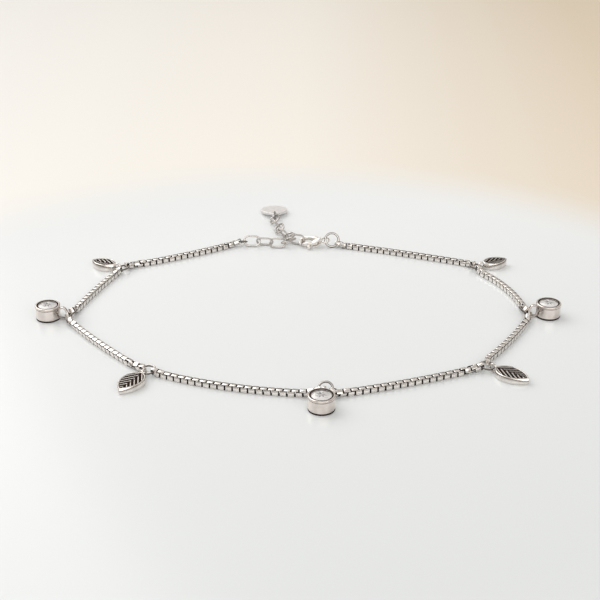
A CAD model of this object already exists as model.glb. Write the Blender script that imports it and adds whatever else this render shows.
"""Charm anklet in polished silver, laid down as a closed loop. Built in millimetres, scaled to metres."""

from math import atan2, copysign, cos, degrees, hypot, pi, radians, sin, sqrt, tan

import bmesh
import bpy
from mathutils import Matrix, Vector


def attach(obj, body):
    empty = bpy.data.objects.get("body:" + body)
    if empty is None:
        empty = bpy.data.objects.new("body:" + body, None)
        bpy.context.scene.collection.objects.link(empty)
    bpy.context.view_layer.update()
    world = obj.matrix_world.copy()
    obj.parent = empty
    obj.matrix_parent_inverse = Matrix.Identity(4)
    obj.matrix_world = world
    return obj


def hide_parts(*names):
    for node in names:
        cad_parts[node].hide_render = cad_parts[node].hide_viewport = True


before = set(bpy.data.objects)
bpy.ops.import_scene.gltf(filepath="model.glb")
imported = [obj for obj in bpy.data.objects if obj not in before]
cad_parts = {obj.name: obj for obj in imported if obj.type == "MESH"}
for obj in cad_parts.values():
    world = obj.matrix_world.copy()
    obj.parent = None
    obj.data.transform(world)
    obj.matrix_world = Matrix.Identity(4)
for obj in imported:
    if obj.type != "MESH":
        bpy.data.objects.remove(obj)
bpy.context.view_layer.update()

MM = 0.001
UP = Vector((0, 0, 1))

# ---------------------------------------------------------------- dimensions, in millimetres

# box chain: width of the bar that it is in the CAD parts, and height of that bar's middle line
CHAIN_WIDTH = 0.96
CHAIN_HEIGHT = CHAIN_WIDTH / 2
# the square links shown here instead, bent from strip
LINK_WIDTH = 1.03
LINK_PITCH = 0.635
LINK_STRIP = 0.08
LINK_BREADTH = 0.85
LINK_CORNER = 0.10
LINK_LEAST_CORNER = 0.02
LINK_EDGE = 0.028
LINK_FACE_MARGIN = 0.01
END_LINK_SHIFT = 0.10
END_LINK_LEAN = 0.35
# length over which a chain end comes down from a station's ring, and from the other two rings
STATION_REACH = 1.6
OTHER_REACH = 2.0
# corners of a stretch's route as shares of its length, and how much of a run is taken by a bend
ROUTE_SHARES = (0.0, 0.06, 0.17, 0.37, 0.63, 0.83, 0.94, 1.0)
BEND_SHARE = 0.45
# length over which the chain's roll changes from that of its end link
TWIST_LENGTH = 4.5

RING_RADIUS = 1.12
RING_WIRE = 0.19

BEZEL_SETBACK = 1.17
BEZEL_RADIUS = 2.15
BEZEL_HEIGHT = 2.60
BEZEL_FLOOR = 0.35
FOOT_INSET = 0.20
FOOT_ROUND = 0.07
RIM_RADIUS = 2.20
RIM_START = 2.22
RIM_STEP = 0.03
RIM_BEVEL = 0.02
RIM_ROUND = 0.18
LIP_RADIUS = 1.80
SEAT_RADIUS = 1.90
SEAT_HEIGHT = 2.13
POCKET_RADIUS = 1.55
POCKET_TOP = 1.88
# heights of the rows up the wall, close together where the tarnish fades
WALL_ROWS = (0.30, 0.35, 1.2, RIM_START - 0.14, RIM_START - 0.11, RIM_START - 0.04)
# turned-in lip: (radius, drop below the top of the rim), from the rim inwards and down past the stone
LIP_POINTS = (
    (2.01, 0.0), (1.94, 0.0), (1.90, 0.01), (1.78, 0.01), (1.74, 0.02), (1.68, 0.06), (1.66, 0.12),
    (1.68, 0.18), (LIP_RADIUS, 0.22), (SEAT_RADIUS, 0.26),
)
# where a bezel is dark: on its lip, in the step under the rim and round its foot
DARK_LIP = (1.67, 1.92)
DARK_LIP_HEIGHT = 2.5
DARK_STEP = (RIM_START - 0.12, RIM_START + 0.04)
DARK_STEP_AMOUNT = 0.45
DARK_FOOT_HEIGHT = 0.32
BEZEL_SIDE_DEPTH = 0.10
# strap eye on the back of a bezel: (distance from the bezel's side, height) of its corners
EYE_CORNERS = ((-0.15, 2.02), (0.85, 2.32), (1.70, 1.05), (1.60, 0.20), (-0.15, 0.20))
EYE_BEND = 0.42
EYE_BREADTH = 0.56
EYE_THICKNESS = 0.30
# shares of the strap's thickness over which the inside of its eye goes dark
DARK_EYE = (0.2, 0.4)

# stones: radii and heights of their rings of facets
FOLDS = 8
GIRDLE_RADIUS = 1.86
GIRDLE_BOTTOM = 2.20
GIRDLE_TOP = 2.26
TABLE_RADIUS = 1.04
TABLE_HEIGHT = 2.64
TABLE_HEART = 0.42 * TABLE_RADIUS
KITE_RADIUS = (TABLE_RADIUS + GIRDLE_RADIUS) / 2 + 0.03
KITE_HEIGHT = TABLE_HEIGHT - 0.165
CULET_HEIGHT = 0.90
PAVILION_RADIUS = 0.30 * GIRDLE_RADIUS
PAVILION_HEIGHT = CULET_HEIGHT + 0.36

# leaves: the shoulder is a share of the length, and the stem is half the width there
LEAF_SHOULDER = 0.42
LEAF_STEM = 0.30
LEAF_RIM = 0.25
LEAF_WALL = 0.05
LEAF_ROUND_WIDTH = 0.13
LEAF_ROUND_DROP = 0.10
# rows of the side and underside: (distance in from the outline, height). A vertex nearer to the leaf's
# middle than the least arm moves less.
LEAF_UNDERSIDE = ((0.0, 0.16), (0.02, 0.07), (0.09, 0.01), (0.16, 0.0))
LEAF_LEAST_ARM = 0.5
FIELD_DEPTH = 0.11
VEIN_RISE = 0.04
VEIN_WIDTH = 0.16
VEIN_SPACING = 1.02
VEIN_SLANT = 36.0
MIDRIB_WIDTH = 0.18
MIDRIB_BOW = 0.22
# a vein falls from its shoulder, inside its edge, to its skirt, outside it, and fades near the rim
VEIN_SHOULDER = 0.04
MIDRIB_SHOULDER = 0.03
VEIN_SKIRT = 0.02
VEIN_FADE = (0.04, 0.12)
LEAF_EYE_RADIUS = 0.60
LEAF_EYE_WIRE = 0.16
LEAF_EYE_HEIGHT = 0.78
LEAF_EYE_SETBACK = 0.50

# extender links: half of a straight side, and the radius of the bends
EXTENDER_STRAIGHT = 0.60
EXTENDER_BEND = 0.96
EXTENDER_WIRE = 0.19
END_RING_RADIUS = 0.75
END_RING_WIRE = 0.16
TAG_RING_RADIUS = 0.75
TAG_RING_WIRE = 0.15
CLASP_RING_RADIUS = 1.32
CLASP_RING_WIRE = 0.20

# Jump rings at the charms. lean: slope of the ring above the ground. height: that of the lowest point
# of its wire's middle line.
STATION_FORMS = {
    "leaf": dict(lean=8, height=0.64),
    "stone": dict(lean=32, height=0.72),
}

# Charm stations, in order round the loop. x, y: middle of the jump ring. out: heading from the ring to
# its charm. hang: how far out from the ring's level diameter the chains ending and starting there hang,
# in degrees round the ring.
STATIONS = {
    "leaf_left_back": dict(x=-33.52, y=10.39, out=158, hang=(-21, 5)),
    "stone_left": dict(x=-40.10, y=-9.63, out=170, hang=(12, 5)),
    "leaf_left_front": dict(x=-24.52, y=-28.91, out=239.5, hang=(-1, -3)),
    "stone_front": dict(x=4.30, y=-35.68, out=260.4, hang=(30, 26)),
    "leaf_right_front": dict(x=30.98, y=-27.51, out=321, hang=(-31, -31)),
    "stone_right": dict(x=40.10, y=-8.72, out=8.9, hang=(12, 22)),
    "leaf_right_back": dict(x=33.88, y=10.99, out=21.7, hang=(-4, -9)),
}

LEAVES = {
    "leaf_left_back": dict(length=5.0, width=3.1, thickness=1.4),
    "leaf_left_front": dict(length=6.2, width=3.8, thickness=1.15),
    "leaf_right_front": dict(length=6.2, width=3.8, thickness=1.15),
    "leaf_right_back": dict(length=5.0, width=3.1, thickness=1.4),
}

# Chain stretches. outward: how far the middle of a stretch bows out of the loop. roll: turn of the
# chain's flat sides about its length, in degrees.
STRETCHES = {
    "chain_back_left": dict(start="extender_end_ring", end="leaf_left_back", outward=-0.55, roll=0),
    "chain_left_back": dict(start="leaf_left_back", end="stone_left", outward=0.28, roll=0),
    "chain_left_front": dict(start="stone_left", end="leaf_left_front", outward=0.45, roll=9),
    "chain_front_left": dict(start="leaf_left_front", end="stone_front", outward=1.25, roll=0),
    "chain_front_right": dict(start="stone_front", end="leaf_right_front", outward=0.50, roll=0),
    "chain_right_front": dict(start="leaf_right_front", end="stone_right", outward=0.45, roll=0),
    "chain_right_back": dict(start="stone_right", end="leaf_right_back", outward=1.10, roll=0),
    "chain_back_right": dict(start="leaf_right_back", end="clasp_ring", outward=0.35, roll=0),
}

# Extender links. along: heading of the long side. tilt: turn about it. dip: slope down along it.
LINKS = {
    "extender_link_1": dict(x=-9.27, y=22.31, z=1.06, along=-4, tilt=62, dip=0),
    "extender_link_2": dict(x=-6.74, y=22.07, z=1.06, along=-6, tilt=118, dip=0),
    "extender_link_3": dict(x=-4.19, y=21.93, z=0.83, along=-4, tilt=40, dip=0),
    "extender_link_4": dict(x=-2.03, y=22.66, z=0.95, along=45, tilt=156, dip=0),
    "extender_link_5": dict(x=-0.34, y=22.94, z=1.16, along=160, tilt=90, dip=0),
    "extender_link_6": dict(x=-1.92, y=24.51, z=1.19, along=112, tilt=160, dip=12),
    "extender_link_7": dict(x=-3.17, y=26.64, z=1.03, along=125, tilt=60, dip=0),
    "extender_link_8": dict(x=-3.92, y=28.97, z=0.88, along=100, tilt=140, dip=0),
    "extender_link_9": dict(x=-4.62, y=31.39, z=0.98, along=112, tilt=55, dip=0),
    "extender_link_10": dict(x=-4.92, y=33.91, z=0.90, along=92, tilt=150, dip=0),
}

# x, y and z: middle of the clasp's tail eye and of each ring. aim and along: headings. drop, tilt and
# lean: slopes.
CLASP = dict(x=5.25, y=22.04, z=1.35, aim=178, drop=6.2, tilt=17)
CLASP_RING = dict(x=6.58, y=22.04, z=1.41, lean=66, hang=-34)
END_RING = dict(x=-11.06, y=22.41, z=0.86, lean=150)
TAG_RING = dict(x=-4.97, y=35.77, z=0.92, along=92)

# ---------------------------------------------------------------- places


def heading(angle):
    return Vector((cos(radians(angle)), sin(radians(angle)), 0))


def smooth(value, low, high):
    """0 below low, 1 above high, and an even ease between them."""
    share = min(1.0, max(0.0, (value - low) / (high - low)))
    return share * share * (3 - 2 * share)


class Hoop:
    """A round of wire: its middle, two unit vectors in its plane, and the radius to the wire's middle."""

    def __init__(self, centre, side, rise, radius):
        self.centre = centre
        self.side = side
        self.rise = rise
        self.radius = radius

    def point(self, angle):
        arm = self.side * cos(radians(angle)) + self.rise * sin(radians(angle))
        return self.centre + arm * self.radius

    def tangent(self, angle):
        return self.rise * cos(radians(angle)) - self.side * sin(radians(angle))


def station_hoop(name):
    """Jump ring of a charm, leaning up from its charm towards the loop."""
    row = STATIONS[name]
    form = STATION_FORMS[name.split("_")[0]]
    out = heading(row["out"])
    lean = radians(form["lean"])
    rise = UP * sin(lean) - out * cos(lean)
    centre = Vector((row["x"], row["y"], form["height"] + RING_RADIUS * sin(lean)))
    return Hoop(centre, UP.cross(out), rise, RING_RADIUS)


def level_hoop(row, radius):
    """Ring that lies level from left to right, turned about that line by its lean."""
    lean = radians(row["lean"])
    centre = Vector((row["x"], row["y"], row["z"]))
    return Hoop(centre, Vector((1, 0, 0)), Vector((0, cos(lean), sin(lean))), radius)


HOOPS = {name: station_hoop(name) for name in STATIONS}
HOOPS["extender_end_ring"] = level_hoop(END_RING, END_RING_RADIUS)
HOOPS["clasp_ring"] = level_hoop(CLASP_RING, CLASP_RING_RADIUS)


def hang_angle(name, starts):
    """Where round a ring the chain that starts or ends there hangs, in degrees."""
    if name == "extender_end_ring":
        return 180
    if name == "clasp_ring":
        return CLASP_RING["hang"]
    ending, starting = STATIONS[name]["hang"]
    return -starting if starts else 180 + ending


def leave_ring(name, angle, direction):
    """Chain end on a ring: the crossing point, the axis of its end link, and the way the chain leaves."""
    hoop = HOOPS[name]
    point = hoop.point(angle)
    axis = hoop.tangent(angle)
    reach = STATION_REACH if name in STATIONS else OTHER_REACH
    fall = (direction * reach + UP * (CHAIN_HEIGHT - point.z)).normalized()
    square = (fall - axis * fall.dot(axis)).normalized()
    along = (fall * END_LINK_LEAN + square * (1 - END_LINK_LEAN)).normalized()
    axis = (axis - along * axis.dot(along)).normalized()
    return point, axis, along


def stretch_route(row):
    """Corner points of a stretch between its two rings, and the two chain ends."""
    first, last = row["start"], row["end"]
    first_angle = hang_angle(first, True)
    last_angle = hang_angle(last, False)
    span = HOOPS[last].point(last_angle) - HOOPS[first].point(first_angle)
    span.z = 0
    outward = Vector((span.y, -span.x, 0)).normalized()
    swing = outward * (4 * row["outward"] / span.length)
    ends = [
        leave_ring(first, first_angle, (span.normalized() + swing).normalized()),
        leave_ring(last, last_angle, (swing - span.normalized()).normalized()),
    ]
    landings = [point + along * ((point.z - CHAIN_HEIGHT) / -along.z) for point, _, along in ends]
    line = landings[1] - landings[0]
    points = [ends[0][0]]
    for share in ROUTE_SHARES:
        points.append(landings[0] + line * share + outward * (row["outward"] * 4 * share * (1 - share)))
    points.append(ends[1][0])
    return points, ends


def rounded(points, share=None, radius=None, steps=6):
    """A path through the points with each corner rounded off, by a share of its runs or to a radius."""
    path = [points[0]]
    for before, corner, after in zip(points, points[1:], points[2:]):
        back = before - corner
        ahead = after - corner
        turn = pi - back.angle(ahead)
        cut = share * min(back.length, ahead.length) if share else radius * tan(turn / 2)
        start = corner + back.normalized() * cut
        end = corner + ahead.normalized() * cut
        for step in range(steps + 1):
            part = step / steps
            path.append(start * (1 - part) ** 2 + corner * 2 * part * (1 - part) + end * part**2)
    path.append(points[-1])
    return path


def walk(path, inset, pitch):
    """(point, heading, distance) at even steps along a path, kept in from both its ends by an inset."""
    lengths = [0.0]
    for before, after in zip(path, path[1:]):
        lengths.append(lengths[-1] + (after - before).length)
    total = lengths[-1] - 2 * inset
    count = max(2, round(total / pitch) + 1)
    places = []
    segment = 0
    for number in range(count):
        distance = inset + total * number / (count - 1)
        while segment < len(path) - 2 and lengths[segment + 1] < distance:
            segment += 1
        run = path[segment + 1] - path[segment]
        part = (distance - lengths[segment]) / run.length
        places.append((path[segment] + run * part, run.normalized(), distance))
    return places


def charm_origin(name, distance):
    """Point on the ground, a distance out from the outermost point of the charm's jump ring."""
    near = HOOPS[name].point(-90) + heading(STATIONS[name]["out"]) * distance
    return Vector((near.x, near.y, 0))


def bezel_centre(name):
    """Point on the ground under the middle of a bezel and its stone."""
    return charm_origin(name, BEZEL_SETBACK + BEZEL_RADIUS)


# ---------------------------------------------------------------- meshes

# sides and steps of the meshes
TUBE_SIDES = 16
LIMB_SIDES = 20
DOME_RINGS = 4
REVOLVE_STEPS = 96
SPLINE_STEPS = 8
BEND_STEPS = 24


def bridge(bm, one, two):
    """Band of faces between two closed rings of as many vertices."""
    for step in range(len(one)):
        following = (step + 1) % len(one)
        bm.faces.new((one[step], one[following], two[following], two[step]))


def tube(bm, path, radius, closed=False):
    """Round wire along a path, with flat ends when it is open."""
    count = len(path)
    rings = []
    normal = None
    for index, point in enumerate(path):
        if closed:
            forward = (path[(index + 1) % count] - path[index - 1]).normalized()
        else:
            forward = (path[min(index + 1, count - 1)] - path[max(index - 1, 0)]).normalized()
        if normal is None:
            normal = forward.orthogonal().normalized()
        normal = (normal - forward * normal.dot(forward)).normalized()
        side = forward.cross(normal)
        ring = []
        for step in range(TUBE_SIDES):
            angle = 2 * pi * step / TUBE_SIDES
            ring.append(bm.verts.new(point + (normal * cos(angle) + side * sin(angle)) * radius))
        rings.append(ring)
    pairs = list(zip(rings, rings[1:]))
    if closed:
        # the section has turned on its way round, so the last ring meets the first at its nearest vertex
        first = rings[0]
        shift = min(range(TUBE_SIDES), key=lambda k: (first[k].co - rings[-1][0].co).length)
        pairs.append((rings[-1], first[shift:] + first[:shift]))
    for one, two in pairs:
        bridge(bm, one, two)
    if not closed:
        bm.faces.new(list(reversed(rings[0])))
        bm.faces.new(rings[-1])


def dome(point, forward, width, height, sign):
    """Rows of a limb's spine beyond its end: ahead of it for a sign of 1, behind it for -1."""
    rows = []
    for number in range(1, DOME_RINGS + 1):
        rise = radians(90 * number / (DOME_RINGS + 1))
        rows.append((point + forward * width * sin(rise) * sign, forward, width, height, cos(rise)))
    return rows


def limb(bm, path, widths, heights, normal, power):
    """Body along a path: half-widths in the path's plane, half-heights along the plane's normal.

    A power of 1 gives an oval section and a smaller power a squarer one. Both ends are domed.
    Returns the rings of vertices.
    """
    count = len(path)
    spine = []
    for index, point in enumerate(path):
        forward = (path[min(index + 1, count - 1)] - path[max(index - 1, 0)]).normalized()
        spine.append((point, forward, widths[index], heights[index], 1.0))
    behind = reversed(dome(*spine[0][:4], -1))
    ahead = dome(*spine[-1][:4], 1)
    rings = []
    for point, forward, width, height, share in (*behind, *spine, *ahead):
        side = normal.cross(forward).normalized()
        ring = []
        for step in range(LIMB_SIDES):
            angle = radians(360 * step / LIMB_SIDES)
            across = copysign(abs(cos(angle)) ** power, cos(angle)) * width * share
            lift = copysign(abs(sin(angle)) ** power, sin(angle)) * height * share
            ring.append(bm.verts.new(point + side * across + normal * lift))
        rings.append(ring)
    for one, two in zip(rings, rings[1:]):
        bridge(bm, one, two)
    bm.faces.new(list(reversed(rings[0])))
    bm.faces.new(rings[-1])
    return rings


def blend(before, start, end, after, part):
    """Value between start and end on a smooth run that also heeds the values before and after."""
    square = 2 * before - 5 * start + 4 * end - after
    cube = 3 * start - before - 3 * end + after
    return 0.5 * (2 * start + (end - before) * part + square * part**2 + cube * part**3)


def spline(points):
    """Smooth run through rows of numbers, each row blended with its neighbours."""
    rows = [points[0], *points, points[-1]]
    run = []
    for four in zip(rows, rows[1:], rows[2:], rows[3:]):
        for step in range(SPLINE_STEPS):
            run.append(tuple(blend(*values, step / SPLINE_STEPS) for values in zip(*four)))
    run.append(points[-1])
    return run


def circle_path(hoop, steps=64):
    """Points all the way round a hoop."""
    return [hoop.point(360 * step / steps) for step in range(steps)]


def revolve(bm, profile, centre):
    """Turns a profile of (radius, height) pairs about a vertical line."""
    rings = []
    for radius, height in profile:
        if radius == 0:
            rings.append([bm.verts.new(centre + UP * height)])
            continue
        ring = []
        for step in range(REVOLVE_STEPS):
            ring.append(bm.verts.new(centre + heading(360 * step / REVOLVE_STEPS) * radius + UP * height))
        rings.append(ring)
    for one, two in zip(rings, rings[1:]):
        for step in range(REVOLVE_STEPS):
            lower = [one[step % len(one)], one[(step + 1) % len(one)]]
            upper = [two[(step + 1) % len(two)], two[step % len(two)]]
            # beside the axis two corners are the same vertex
            corners = list(dict.fromkeys(lower + upper))
            if len(corners) > 2:
                bm.faces.new(corners)


def arc_profile(centre, radius, start, end, steps=6):
    """Points of an arc in a profile, from one angle to another."""
    points = []
    for step in range(steps + 1):
        angle = radians(start + (end - start) * step / steps)
        points.append((centre[0] + radius * cos(angle), centre[1] + radius * sin(angle)))
    return points


def add_object(name, data):
    """Puts new data into the scene as an object."""
    added = bpy.data.objects.new(name, data)
    bpy.context.scene.collection.objects.link(added)
    return added


def make_piece(name, bm, material, body="anklet", flat=False):
    """Turns a bmesh in millimetres into the piece that stands for the CAD node of the same name."""
    bmesh.ops.recalc_face_normals(bm, faces=bm.faces)
    mesh = bpy.data.meshes.new(f"{name}_detail")
    bm.to_mesh(mesh)
    bm.free()
    mesh.transform(Matrix.Scale(MM, 4))
    for polygon in mesh.polygons:
        polygon.use_smooth = not flat
    mesh.materials.append(material)
    piece = add_object(f"{name}_detail", mesh)
    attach(piece, body)
    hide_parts(name)


# ---------------------------------------------------------------- materials

CLOUD_SCALE = 900
CLOUD_START = 0.30
CLOUD_END = 0.62
WEAR_SCALE = 5400
STONE_CLOUD_SCALE = 700
BUMP_STRENGTH = 0.02
BUMP_DISTANCE = 0.00005
TARNISH_ROUGHNESS = 0.35


def new_material(name):
    """A new material, its node tree and its shader."""
    material = bpy.data.materials.new(name)
    material.use_nodes = True
    return material, material.node_tree, material.node_tree.nodes["Principled BSDF"]


def mesh_value(tree, name):
    """A value that the mesh holds under a name."""
    node = tree.nodes.new("ShaderNodeAttribute")
    node.attribute_name = name
    return node.outputs["Fac"]


def value_noise(tree, scale, detail):
    """Soft clouds, fixed to the object."""
    coordinates = tree.nodes.new("ShaderNodeTexCoord")
    noise = tree.nodes.new("ShaderNodeTexNoise")
    noise.inputs["Scale"].default_value = scale
    noise.inputs["Detail"].default_value = detail
    tree.links.new(coordinates.outputs["Object"], noise.inputs["Vector"])
    return noise.outputs["Fac"]


def ramp(tree, source, stops):
    """Colour ramp from (position, colour) stops."""
    node = tree.nodes.new("ShaderNodeValToRGB")
    elements = node.color_ramp.elements
    while len(elements) < len(stops):
        elements.new(0.5)
    for element, (position, colour) in zip(elements, stops):
        element.position = position
        element.color = (*colour, 1)
    tree.links.new(source, node.inputs["Fac"])
    return node.outputs["Color"]


def level(tree, source, low, high):
    """Maps 0..1 to low..high."""
    node = tree.nodes.new("ShaderNodeMapRange")
    node.inputs["To Min"].default_value = low
    node.inputs["To Max"].default_value = high
    tree.links.new(source, node.inputs["Value"])
    return node.outputs["Result"]


def mix(tree, factor, first, second):
    """Mixes two colours, each given as a value or as a node's output."""
    node = tree.nodes.new("ShaderNodeMix")
    node.data_type = "RGBA"
    tree.links.new(factor, node.inputs["Factor"])
    for source, socket in ((first, node.inputs["A"]), (second, node.inputs["B"])):
        if isinstance(source, tuple):
            socket.default_value = (*source, 1)
        else:
            tree.links.new(source, socket)
    return node.outputs["Result"]


def silver(name, light, shade, smoothest, roughest, tarnish=None):
    """Polished silver with faint clouding, fine wear marks, and dark tarnish where the mesh says so."""
    material, tree, shader = new_material(name)
    shader.inputs["Metallic"].default_value = 1.0
    shader.inputs["Specular IOR Level"].default_value = 0.0
    cloud = value_noise(tree, CLOUD_SCALE, detail=4.0)
    wear = value_noise(tree, WEAR_SCALE, detail=2.0)
    colour = ramp(tree, cloud, ((CLOUD_START, shade), (CLOUD_END, light)))
    rough = level(tree, wear, smoothest, roughest)
    if tarnish:
        dark = mesh_value(tree, "tarnish")
        colour = mix(tree, dark, colour, tarnish)
        add = tree.nodes.new("ShaderNodeMath")
        add.operation = "MULTIPLY_ADD"
        tree.links.new(dark, add.inputs[0])
        add.inputs[1].default_value = TARNISH_ROUGHNESS
        tree.links.new(rough, add.inputs[2])
        rough = add.outputs[0]
        tree.links.new(level(tree, dark, 1.0, 0.0), shader.inputs["Metallic"])
    tree.links.new(colour, shader.inputs["Base Color"])
    tree.links.new(rough, shader.inputs["Roughness"])
    bump = tree.nodes.new("ShaderNodeBump")
    bump.inputs["Strength"].default_value = BUMP_STRENGTH
    bump.inputs["Distance"].default_value = BUMP_DISTANCE
    tree.links.new(wear, bump.inputs["Height"])
    tree.links.new(bump.outputs["Normal"], shader.inputs["Normal"])
    return material


def stone_material():
    """Clear cut stone: much of its light comes back white, and some facets show dark."""
    material, tree, shader = new_material("clear_stone")
    shader.inputs["Transmission Weight"].default_value = 0.15
    shader.inputs["IOR"].default_value = 2.0
    cloud = value_noise(tree, STONE_CLOUD_SCALE, detail=2.0)
    white = ramp(tree, cloud, ((0.2, (0.96, 0.94, 0.93)), (0.8, (1.0, 0.99, 0.98))))
    colour = mix(tree, mesh_value(tree, "facet_shade"), white, (0.10, 0.10, 0.11))
    tree.links.new(colour, shader.inputs["Base Color"])
    tree.links.new(level(tree, cloud, 0.0, 0.04), shader.inputs["Roughness"])
    return material


WARM_BLACK = (0.030, 0.022, 0.018)
chain_silver = silver(
    "chain_silver", light=(0.93, 0.89, 0.85), shade=(0.80, 0.76, 0.72),
    smoothest=0.20, roughest=0.32, tarnish=(0.05, 0.04, 0.035),
)
wire_silver = silver(
    "wire_silver", light=(0.80, 0.77, 0.735), shade=(0.68, 0.65, 0.62),
    smoothest=0.16, roughest=0.28, tarnish=(0.10, 0.085, 0.075),
)
bezel_silver = silver(
    "bezel_silver", light=(0.79, 0.725, 0.68), shade=(0.70, 0.64, 0.60),
    smoothest=0.10, roughest=0.20, tarnish=WARM_BLACK,
)
leaf_silver = silver(
    "leaf_silver", light=(0.86, 0.82, 0.78), shade=(0.71, 0.675, 0.64),
    smoothest=0.14, roughest=0.28, tarnish=WARM_BLACK,
)
tag_silver = silver(
    "tag_silver", light=(0.93, 0.91, 0.90), shade=(0.84, 0.82, 0.81), smoothest=0.46, roughest=0.58
)
clasp_silver = silver(
    "clasp_silver", light=(0.89, 0.855, 0.81), shade=(0.79, 0.755, 0.71), smoothest=0.36, roughest=0.46
)
clear_stone = stone_material()

# ---------------------------------------------------------------- box chain


def link_section():
    """Cross-section of the strip: (distance in from the outside, along the opening axis), corners cut."""
    half = LINK_BREADTH / 2
    edge = LINK_EDGE
    return (
        (0.0, -half + edge), (0.0, half - edge),
        (edge, half), (LINK_STRIP - edge, half),
        (LINK_STRIP, half - edge), (LINK_STRIP, -half + edge),
        (LINK_STRIP - edge, -half), (edge, -half),
    )


def link_outline(inset):
    """Rounded square in the link's own plane, drawn in by an inset. Yields x, y pairs."""
    half = LINK_WIDTH / 2 - inset
    corner = max(LINK_CORNER - inset, LINK_LEAST_CORNER)
    points = []
    for quarter in range(4):
        middle = radians(45 + 90 * quarter)
        middle_x = (half - corner) * (1 if cos(middle) > 0 else -1)
        middle_y = (half - corner) * (1 if sin(middle) > 0 else -1)
        for step in range(4):
            angle = radians(90 * quarter + 30 * step)
            points.append((middle_x + corner * cos(angle), middle_y + corner * sin(angle)))
    return points


def add_link(bm, layer, place, along, opening, between):
    """One square link of bent strip, its hole open along one axis. Between others its ends are dark."""
    across = opening.cross(along).normalized()
    opening = along.cross(across).normalized()
    loops = []
    for inset, offset in link_section():
        loop = []
        for x, y in link_outline(inset):
            vert = bm.verts.new(place + along * x + across * y + opening * offset)
            facing = between and abs(x) > LINK_WIDTH / 2 - inset - LINK_FACE_MARGIN
            vert[layer] = 1.0 if facing or inset >= LINK_STRIP - LINK_EDGE else 0.0
            loop.append(vert)
        loops.append(loop)
    for one, two in zip(loops, loops[1:] + loops[:1]):
        bridge(bm, one, two)


def roll_of(axis, along):
    """Turn of an axis about the chain's length, from level to its left, in degrees."""
    left = UP.cross(along).normalized()
    lift = along.cross(left)
    return degrees(atan2(axis.dot(lift), axis.dot(left)))


def nearest(angle, target, step):
    """The angle, taken by whole steps as near to the target as it goes."""
    return angle - step * round((angle - target) / step)


def make_chain(name, row):
    """Square links along a stretch, every second one turned a quarter."""
    points, ends = stretch_route(row)
    path = rounded(points, share=BEND_SHARE)
    places = walk(path, END_LINK_SHIFT, LINK_PITCH)
    total = places[-1][2] + END_LINK_SHIFT
    last = len(places) - 1
    middle_roll = row["roll"]
    start_roll = nearest(roll_of(ends[0][1], places[0][1]), middle_roll, 180)
    # every second link is turned a quarter, so the end's roll allows for the number of links
    end_roll = nearest(roll_of(ends[1][1], places[-1][1]) - 90 * last, middle_roll, 180)
    bm = bmesh.new()
    layer = bm.verts.layers.float.new("tarnish")
    for number, (place, along, distance) in enumerate(places):
        near_start = 1 - smooth(distance, 0, TWIST_LENGTH)
        near_end = 1 - smooth(total - distance, 0, TWIST_LENGTH)
        roll = middle_roll + (start_roll - middle_roll) * near_start + (end_roll - middle_roll) * near_end
        left = UP.cross(along).normalized()
        lift = along.cross(left)
        turn = radians(roll + 90 * number)
        opening = left * cos(turn) + lift * sin(turn)
        across = opening.cross(along)
        reach = LINK_WIDTH / 2 * (abs(along.z) + abs(across.z)) + LINK_BREADTH / 2 * abs(opening.z)
        place = Vector((place.x, place.y, max(place.z, reach)))
        add_link(bm, layer, place, along, opening, 0 < number < last)
    make_piece(name, bm, chain_silver)


for name, row in STRETCHES.items():
    make_chain(name, row)

# ---------------------------------------------------------------- rings and extender links

RING_TARNISH = 0.9
EXTENDER_TARNISH = 0.35
# share of the wire's radius over which a side goes dark
TARNISH_EDGE = (0.2, 0.75)


def shade_sides(bm, wire_spot, wire, amount):
    """Darkens a wire loop on its outer and inner sides.

    wire_spot gives the nearest point of the wire's middle line and the way out of the loop there.
    """
    layer = bm.verts.layers.float.new("tarnish")
    for vert in bm.verts:
        spot, outward = wire_spot(vert.co)
        vert[layer] = amount * smooth(abs((vert.co - spot).dot(outward)) / wire, *TARNISH_EDGE)


def make_ring(name, hoop, wire):
    bm = bmesh.new()
    tube(bm, circle_path(hoop), wire, closed=True)
    normal = hoop.side.cross(hoop.rise)

    def wire_spot(point):
        arm = point - hoop.centre
        outward = (arm - normal * arm.dot(normal)).normalized()
        return hoop.centre + outward * hoop.radius, outward

    shade_sides(bm, wire_spot, wire, RING_TARNISH)
    make_piece(name, bm, wire_silver)


for name in STATIONS:
    make_ring(f"ring_{name}", HOOPS[name], RING_WIRE)
make_ring("extender_end_ring", HOOPS["extender_end_ring"], END_RING_WIRE)
make_ring("clasp_ring", HOOPS["clasp_ring"], CLASP_RING_WIRE)
tag_ring_centre = Vector((TAG_RING["x"], TAG_RING["y"], TAG_RING["z"]))
tag_ring = Hoop(tag_ring_centre, heading(TAG_RING["along"]), UP, TAG_RING_RADIUS)
make_ring("extender_tag_ring", tag_ring, TAG_RING_WIRE)


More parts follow.
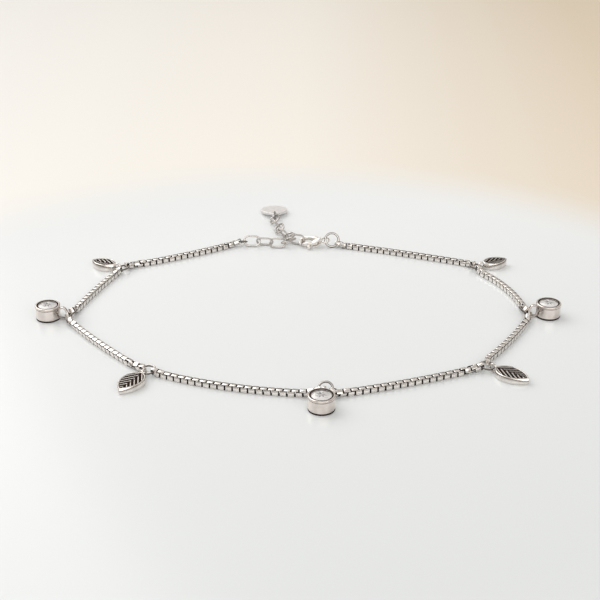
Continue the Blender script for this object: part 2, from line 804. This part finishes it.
def make_link(name, row):
    flat = heading(row["along"])
    along = flat * cos(radians(row["dip"])) - UP * sin(radians(row["dip"]))
    left = UP.cross(flat)
    across = left * cos(radians(row["tilt"])) + along.cross(left) * sin(radians(row["tilt"]))
    centre = Vector((row["x"], row["y"], row["z"]))
    path = []
    for end, first in ((1, 90), (-1, -90)):
        for step in range(BEND_STEPS + 1):
            angle = radians(first - 180 * step / BEND_STEPS)
            reach = end * EXTENDER_STRAIGHT + EXTENDER_BEND * cos(angle)
            path.append(centre + along * reach + across * (EXTENDER_BEND * sin(angle)))
    bm = bmesh.new()
    tube(bm, path, EXTENDER_WIRE, closed=True)

    def wire_spot(point):
        arm = point - centre
        reach = max(-EXTENDER_STRAIGHT, min(EXTENDER_STRAIGHT, arm.dot(along)))
        outward = along * (arm.dot(along) - reach) + across * arm.dot(across)
        outward.normalize()
        return centre + along * reach + outward * EXTENDER_BEND, outward

    shade_sides(bm, wire_spot, EXTENDER_WIRE, EXTENDER_TARNISH)
    make_piece(name, bm, wire_silver)


for name, row in LINKS.items():
    make_link(name, row)

# ---------------------------------------------------------------- bezels and stones


def bezel_profile():
    """(radius, height) round a cup, from the middle of its underside over the rim to its floor."""
    profile = [(0, 0), (BEZEL_RADIUS - FOOT_INSET, 0)]
    profile += arc_profile((BEZEL_RADIUS - FOOT_ROUND, FOOT_ROUND), FOOT_ROUND, -90, 0)
    profile += [(BEZEL_RADIUS, height) for height in WALL_ROWS]
    profile += [(BEZEL_RADIUS - RIM_STEP, RIM_START), (RIM_RADIUS - RIM_BEVEL, RIM_START + RIM_STEP)]
    profile += [(RIM_RADIUS, RIM_START + 2 * RIM_STEP)]
    profile += arc_profile((RIM_RADIUS - RIM_ROUND, BEZEL_HEIGHT - RIM_ROUND), RIM_ROUND, 0, 90, 8)
    profile += [(radius, BEZEL_HEIGHT - drop) for radius, drop in LIP_POINTS]
    profile += [(SEAT_RADIUS, SEAT_HEIGHT), (POCKET_RADIUS, POCKET_TOP)]
    profile += [(POCKET_RADIUS, BEZEL_FLOOR), (0, BEZEL_FLOOR)]
    return profile


def bezel_tarnish(radius, height):
    """How dark a bezel is at a point of its profile."""
    if DARK_LIP[0] < radius < DARK_LIP[1] and height > DARK_LIP_HEIGHT:
        return 1.0
    if radius < BEZEL_RADIUS - BEZEL_SIDE_DEPTH:
        return 0.0
    if DARK_STEP[0] < height < DARK_STEP[1]:
        return DARK_STEP_AMOUNT
    return 1.0 if height < DARK_FOOT_HEIGHT else 0.0


def make_bezel(name):
    """Cup of a stone with the strap eye on its back."""
    centre = bezel_centre(name)
    out = heading(STATIONS[name]["out"])
    bm = bmesh.new()
    layer = bm.verts.layers.float.new("tarnish")
    revolve(bm, bezel_profile(), centre)
    for vert in bm.verts:
        arm = vert.co - centre
        vert[layer] = bezel_tarnish(hypot(arm.x, arm.y), vert.co.z)
    corners = [centre - out * (BEZEL_RADIUS + distance) + UP * height for distance, height in EYE_CORNERS]
    path = rounded(corners, radius=EYE_BEND, steps=8)
    widths = [EYE_THICKNESS / 2] * len(path)
    heights = [EYE_BREADTH / 2] * len(path)
    rings = limb(bm, path, widths, heights, UP.cross(out), power=0.5)
    heart = sum(path, Vector()) / len(path)
    for ring in rings:
        middle = sum((vert.co for vert in ring), Vector()) / len(ring)
        for vert in ring:
            inward = (vert.co - middle).dot((heart - middle).normalized())
            vert[layer] = smooth(inward / EYE_THICKNESS, *DARK_EYE)
    make_piece(name.replace("stone_", "bezel_"), bm, bezel_silver)


# darkest value of a facet, from the pavilion over the girdle, kite and star facets to the table
FACET_SHADES = (0.0, 0.12, 0.40, 0.90, 1.00)
LEAST_SHADE = 0.25


def facet_shade(ring, number):
    """How dark a facet looks: a scattered share of its ring's darkest value."""
    # a common hash of two numbers into 0..1
    scatter = (sin(12.9898 * number + 78.233 * ring + 1.7) * 43758.5453) % 1.0
    return FACET_SHADES[ring] * (LEAST_SHADE + (1 - LEAST_SHADE) * scatter)


def make_stone(name):
    """Round brilliant: table, star, kite and girdle facets above, pavilion facets below."""
    centre = bezel_centre(name)
    bm = bmesh.new()
    layer = bm.faces.layers.float.new("facet_shade")
    sides = 2 * FOLDS

    def ring_of(count, turn, radius, height):
        angles = [360 / count * k + turn for k in range(count)]
        return [bm.verts.new(centre + heading(angle) * radius + UP * height) for angle in angles]

    heart = bm.verts.new(centre + UP * TABLE_HEIGHT)
    inner = ring_of(FOLDS, 0, TABLE_HEART, TABLE_HEIGHT)
    table = ring_of(FOLDS, 180 / FOLDS, TABLE_RADIUS, TABLE_HEIGHT)
    kite = ring_of(FOLDS, 0, KITE_RADIUS, KITE_HEIGHT)
    top = ring_of(sides, 0, GIRDLE_RADIUS, GIRDLE_TOP)
    low = ring_of(sides, 0, GIRDLE_RADIUS, GIRDLE_BOTTOM)
    pavilion = ring_of(FOLDS, 180 / FOLDS, PAVILION_RADIUS, PAVILION_HEIGHT)
    culet = bm.verts.new(centre + UP * CULET_HEIGHT)
    for k in range(FOLDS):
        last, following = (k - 1) % FOLDS, (k + 1) % FOLDS
        here, after, beyond = 2 * k, (2 * k + 1) % sides, (2 * k + 2) % sides
        facets = (
            (4, (heart, inner[k], inner[following])),
            (3, (inner[k], table[k], inner[following])),
            (2, (inner[k], table[last], table[k])),
            (2, (table[last], table[k], kite[k])),
            (1, (kite[k], top[here], top[after])),
            (1, (kite[k], top[here - 1], top[here])),
            (1, (kite[k], top[after], kite[following], table[k])),
            (0, (low[here], low[after], pavilion[k])),
            (0, (low[after], low[beyond], pavilion[k])),
            (0, (pavilion[last], low[here], pavilion[k], culet)),
        )
        for number, (ring, corners) in enumerate(facets):
            bm.faces.new(corners)[layer] = facet_shade(ring, 10 * k + number)
    bridge(bm, low, top)
    make_piece(name, bm, clear_stone, flat=True)


for name in STATIONS:
    if name.startswith("stone"):
        make_bezel(name)
        make_stone(name)

# ---------------------------------------------------------------- leaves

LEAF_ROWS = 170
LEAF_COLUMNS = 72


class LeafShape:
    """Heights and edge distances of a leaf in its own plane, x from stem to tip."""

    def __init__(self, length, width, thickness):
        self.length = length
        self.width = width
        self.thickness = thickness
        self.shoulder = LEAF_SHOULDER * length
        rise = width / 2 - LEAF_STEM
        run = length - self.shoulder
        self.stem_radius = (self.shoulder**2 + rise**2) / (2 * rise)
        self.tip_radius = (run**2 + (width / 2) ** 2) / width

    def bend(self, x):
        """Radius of the arc that the outline follows."""
        return self.stem_radius if x < self.shoulder else self.tip_radius

    def half_width(self, x):
        radius = self.bend(x)
        return self.width / 2 - radius + sqrt(max(0.0, radius**2 - (x - self.shoulder) ** 2))

    def inside(self, x, y):
        """Distance in from the outline."""
        radius = self.bend(x)
        reach = hypot(x - self.shoulder, abs(y) + radius - self.width / 2)
        return min(radius - reach, x)

    def surface(self, x, y):
        """Height of the top at a point, and how dark it is there."""
        edge = self.inside(x, y)
        field = smooth(edge, LEAF_RIM - LEAF_WALL, LEAF_RIM + LEAF_WALL)
        slope = tan(radians(VEIN_SLANT))
        root = x - abs(y) / slope
        off_vein = abs(root - VEIN_SPACING * round(root / VEIN_SPACING)) * sin(radians(VEIN_SLANT))
        vein = 1 - smooth(off_vein, VEIN_WIDTH / 2 - VEIN_SHOULDER, VEIN_WIDTH / 2 + VEIN_SKIRT)
        bow = MIDRIB_BOW * (1 - (2 * x / self.length - 1) ** 2)
        vein *= smooth(abs(y - bow), MIDRIB_WIDTH / 2 - MIDRIB_SHOULDER, MIDRIB_WIDTH / 2 + VEIN_SKIRT)
        vein *= smooth(edge, LEAF_RIM + VEIN_FADE[0], LEAF_RIM + VEIN_FADE[1])
        depth = field * (FIELD_DEPTH - VEIN_RISE * vein)
        rounding = LEAF_ROUND_DROP * (1 - smooth(edge, 0.0, LEAF_ROUND_WIDTH)) ** 2
        return self.thickness - depth - rounding, field * (1 - vein)


def close_underside(bm, loop, middle):
    """Carries a leaf's outline down its side and closes it below."""
    previous = loop
    for inset, height in LEAF_UNDERSIDE:
        ring = []
        for vert in loop:
            inward = middle - vert.co
            inward.z = 0
            spot = vert.co + inward * (inset / max(inward.length, LEAF_LEAST_ARM))
            ring.append(bm.verts.new((spot.x, spot.y, height)))
        bridge(bm, previous, ring)
        previous = ring
    bm.faces.new(previous)


def make_leaf(name, row):
    shape = LeafShape(**row)
    out = heading(STATIONS[name]["out"])
    side = UP.cross(out)
    stem = charm_origin(name, LEAF_EYE_SETBACK)
    bm = bmesh.new()
    layer = bm.verts.layers.float.new("tarnish")
    grid = []
    for i in range(LEAF_ROWS + 1):
        x = shape.length * i / LEAF_ROWS
        half = shape.half_width(x)
        line = []
        for j in range(LEAF_COLUMNS + 1):
            y = half * (2 * j / LEAF_COLUMNS - 1)
            height, dark = shape.surface(x, y)
            vert = bm.verts.new(stem + out * x + side * y + UP * height)
            vert[layer] = dark
            line.append(vert)
        grid.append(line)
    for one, two in zip(grid, grid[1:]):
        for j in range(LEAF_COLUMNS):
            bm.faces.new((one[j], one[j + 1], two[j + 1], two[j]))
    loop = [line[0] for line in grid]
    loop += grid[-1][1:-1]
    loop += [line[-1] for line in reversed(grid)]
    loop += list(reversed(grid[0][1:-1]))
    close_underside(bm, loop, stem + out * shape.shoulder)
    bmesh.ops.remove_doubles(bm, verts=bm.verts, dist=0.004)
    eye = Hoop(stem - out * LEAF_EYE_SETBACK + UP * LEAF_EYE_HEIGHT, out, UP, LEAF_EYE_RADIUS)
    tube(bm, circle_path(eye, steps=48), LEAF_EYE_WIRE, closed=True)
    make_piece(name, bm, leaf_silver)


for name, row in LEAVES.items():
    make_leaf(name, row)

# ---------------------------------------------------------------- tag keeps its CAD shape

tag_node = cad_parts["extender_tag"]
tag_node.data.materials.clear()
tag_node.data.materials.append(tag_silver)

# ---------------------------------------------------------------- clasp

CLASP_EYE_MIDDLE = 0.74
CLASP_EYE_HALF_WIDTH = 0.14
CLASP_EYE_HALF_HEIGHT = 0.21
# rows along each limb in the clasp's own plane: x, y, half-width, half-height
CLASP_ARM = (
    (0.80, 0.00, 0.26, 0.30), (1.20, -0.10, 0.36, 0.46), (1.75, -0.44, 0.50, 0.56),
    (2.45, -0.84, 0.44, 0.52), (3.10, -1.06, 0.40, 0.46), (3.75, -1.08, 0.38, 0.44),
    (4.35, -0.91, 0.36, 0.42), (4.76, -0.42, 0.34, 0.38), (4.93, 0.12, 0.31, 0.34),
    (4.95, 0.45, 0.26, 0.29),
)
CLASP_CHEEK = (
    (1.10, -0.05, 0.34, 0.13), (1.45, 0.25, 0.50, 0.14), (1.90, 0.66, 0.52, 0.13), (2.25, 0.80, 0.40, 0.10),
)
CLASP_CHEEK_OFFSET = 0.45
LEVER_ARM = (
    (1.80, 0.74, 0.34, 0.22), (2.30, 0.78, 0.34, 0.26), (2.80, 0.84, 0.36, 0.44), (3.40, 0.84, 0.36, 0.48),
    (4.00, 0.78, 0.28, 0.42), (4.38, 0.72, 0.18, 0.30),
)
KNOB = (3.25, 1.75)
KNOB_RADIUS = 0.42
KNOB_ROOT = (3.10, 0.90)
KNOB_STEM_RADIUS = 0.20


def clasp_axes():
    """Middle of the tail eye, and unit vectors to the tip, to the lever and out of the clasp's plane."""
    aim = heading(CLASP["aim"])
    along = aim * cos(radians(CLASP["drop"])) - UP * sin(radians(CLASP["drop"]))
    near = heading(CLASP["aim"] + 90)
    lift = along.cross(near)
    across = near * cos(radians(CLASP["tilt"])) - lift * sin(radians(CLASP["tilt"]))
    return Vector((CLASP["x"], CLASP["y"], CLASP["z"])), along, across, along.cross(across)


def clasp_limb(bm, rows, offset=0.0):
    """A limb through rows in the clasp's own plane, or offset out of it."""
    origin, along, across, normal = clasp_axes()
    xs, ys, widths, heights = zip(*spline(rows))
    path = [origin + along * x + across * y + normal * offset for x, y in zip(xs, ys)]
    limb(bm, path, widths, heights, normal, power=0.8)


def make_clasp_body():
    origin, along, across, normal = clasp_axes()
    bm = bmesh.new()
    eye = Hoop(origin, along, across, CLASP_EYE_MIDDLE)
    tube(bm, circle_path(eye), CLASP_EYE_HALF_HEIGHT, closed=True)
    # the round wire of the tail eye is drawn in until it is taller than it is wide
    squeeze = CLASP_EYE_HALF_WIDTH / CLASP_EYE_HALF_HEIGHT
    for vert in bm.verts:
        arm = vert.co - origin
        lift = normal * arm.dot(normal)
        level_arm = arm - lift
        reach = CLASP_EYE_MIDDLE + (level_arm.length - CLASP_EYE_MIDDLE) * squeeze
        vert.co = origin + level_arm.normalized() * reach + lift
    clasp_limb(bm, CLASP_ARM)
    for hand in (1, -1):
        clasp_limb(bm, CLASP_CHEEK, hand * CLASP_CHEEK_OFFSET)
    make_piece("clasp_body", bm, clasp_silver)


def make_clasp_lever():
    origin, along, across, _ = clasp_axes()
    bm = bmesh.new()
    clasp_limb(bm, LEVER_ARM)
    knob = origin + along * KNOB[0] + across * KNOB[1]
    root = origin + along * KNOB_ROOT[0] + across * KNOB_ROOT[1]
    tube(bm, [root, (root + knob) / 2, knob], KNOB_STEM_RADIUS)
    place = Matrix.Translation(knob)
    bmesh.ops.create_uvsphere(bm, u_segments=32, v_segments=20, radius=KNOB_RADIUS, matrix=place)
    make_piece("clasp_lever", bm, clasp_silver, body="clasp_lever")


make_clasp_body()
make_clasp_lever()

# ---------------------------------------------------------------- stage, light and camera

# Places and sizes are in metres from here on. The floor is pale and cool under the anklet, darker to
# the front right, and beyond the anklet it turns warm, most on the right.
FLOOR_CORNERS = ((-1.5, -1.0, 0), (1.5, -1.0, 0), (1.5, 2.0, 0), (-1.5, 2.0, 0))
FLOOR_MIDDLE = (0.0, -0.03, 0.0)
FLOOR_SPREAD = (0.078, 0.104)
FLOOR_SLANT = (-0.4, 1.0, 0.0)
FLOOR_SLANT_RANGE = (-0.09, 0.03)
FLOOR_FRONT = (0.745, 0.775, 0.785)
FLOOR_BACK = (0.872, 0.897, 0.912)
FLOOR_ACROSS_RANGE = (-0.09, 0.09)
FLOOR_FAR = ((0.0, (0.97, 0.96, 0.93)), (0.5, (0.95, 0.91, 0.84)), (1.0, (0.78, 0.66, 0.50)))
FLOOR_ROUGHNESS = 0.20

# colours of the room by height, from the horizon up
ROOM = (
    (0.0, (0.10, 0.085, 0.075)),
    (0.12, (0.20, 0.175, 0.15)),
    (0.30, (0.87, 0.835, 0.79)),
    (0.6, (0.97, 0.945, 0.91)),
    (1.0, (0.67, 0.65, 0.63)),
)
ROOM_STRENGTH = 0.72

CAMERA_PLACE = (0.00026, -0.21146, 0.1045)
CAMERA_DOWN = 26.5
CAMERA_LENS = 77.1
CAMERA_SENSOR = 36.0


def vector_value(tree, operation, vector, constant):
    """One number from a vector and a constant vector."""
    node = tree.nodes.new("ShaderNodeVectorMath")
    node.operation = operation
    tree.links.new(vector, node.inputs[0])
    node.inputs[1].default_value = constant
    return node.outputs["Value"]


def share_of(tree, source, span, interpolation="LINEAR"):
    """0 at the start of a span and 1 at its end."""
    node = tree.nodes.new("ShaderNodeMapRange")
    node.interpolation_type = interpolation
    node.inputs["From Min"].default_value, node.inputs["From Max"].default_value = span
    tree.links.new(source, node.inputs["Value"])
    return node.outputs["Result"]


def make_floor():
    mesh = bpy.data.meshes.new("floor")
    mesh.from_pydata(FLOOR_CORNERS, [], [(0, 1, 2, 3)])
    floor_object = add_object("floor", mesh)
    material, tree, shader = new_material("pale_floor")
    shader.inputs["Roughness"].default_value = FLOOR_ROUGHNESS
    place = tree.nodes.new("ShaderNodeTexCoord").outputs["Object"]
    split = tree.nodes.new("ShaderNodeSeparateXYZ")
    tree.links.new(place, split.inputs["Vector"])
    distance = vector_value(tree, "DISTANCE", place, FLOOR_MIDDLE)
    slant = vector_value(tree, "DOT_PRODUCT", place, FLOOR_SLANT)
    near = mix(tree, share_of(tree, slant, FLOOR_SLANT_RANGE), FLOOR_FRONT, FLOOR_BACK)
    far = ramp(tree, share_of(tree, split.outputs["X"], FLOOR_ACROSS_RANGE), FLOOR_FAR)
    colour = mix(tree, share_of(tree, distance, FLOOR_SPREAD, "SMOOTHSTEP"), near, far)
    tree.links.new(colour, shader.inputs["Base Color"])
    mesh.materials.append(material)


def add_light(name, place, size, power, colour):
    """A lamp that looks at the middle of the anklet."""
    light = bpy.data.lights.new(name, "AREA")
    light.shape = "RECTANGLE"
    light.size, light.size_y = size
    light.energy = power
    light.color = colour
    lamp = add_object(name, light)
    lamp.location = place
    lamp.rotation_euler = (-Vector(place)).to_track_quat("-Z", "Y").to_euler()


def make_world():
    world = bpy.data.worlds.new("studio")
    bpy.context.scene.world = world
    world.use_nodes = True
    tree = world.node_tree
    background = tree.nodes["Background"]
    coordinates = tree.nodes.new("ShaderNodeTexCoord")
    split = tree.nodes.new("ShaderNodeSeparateXYZ")
    tree.links.new(coordinates.outputs["Generated"], split.inputs["Vector"])
    tree.links.new(ramp(tree, split.outputs["Z"], ROOM), background.inputs["Color"])
    background.inputs["Strength"].default_value = ROOM_STRENGTH


make_floor()
make_world()
add_light("window", place=(-0.62, 0.50, 0.80), size=(1.3, 1.0), power=7.3, colour=(1.0, 0.985, 0.965))
add_light("fill", place=(0.2, -0.7, 0.5), size=(1.2, 0.6), power=3.0, colour=(1.0, 0.98, 0.96))

camera_data = bpy.data.cameras.new("camera")
camera_data.lens = CAMERA_LENS
camera_data.sensor_width = CAMERA_SENSOR
camera_data.clip_start = 0.01
camera = add_object("camera", camera_data)
camera.location = CAMERA_PLACE
camera.rotation_euler = (radians(90 - CAMERA_DOWN), 0, 0)
bpy.context.scene.camera = camera
bpy.context.scene.view_settings.view_transform = "Standard"
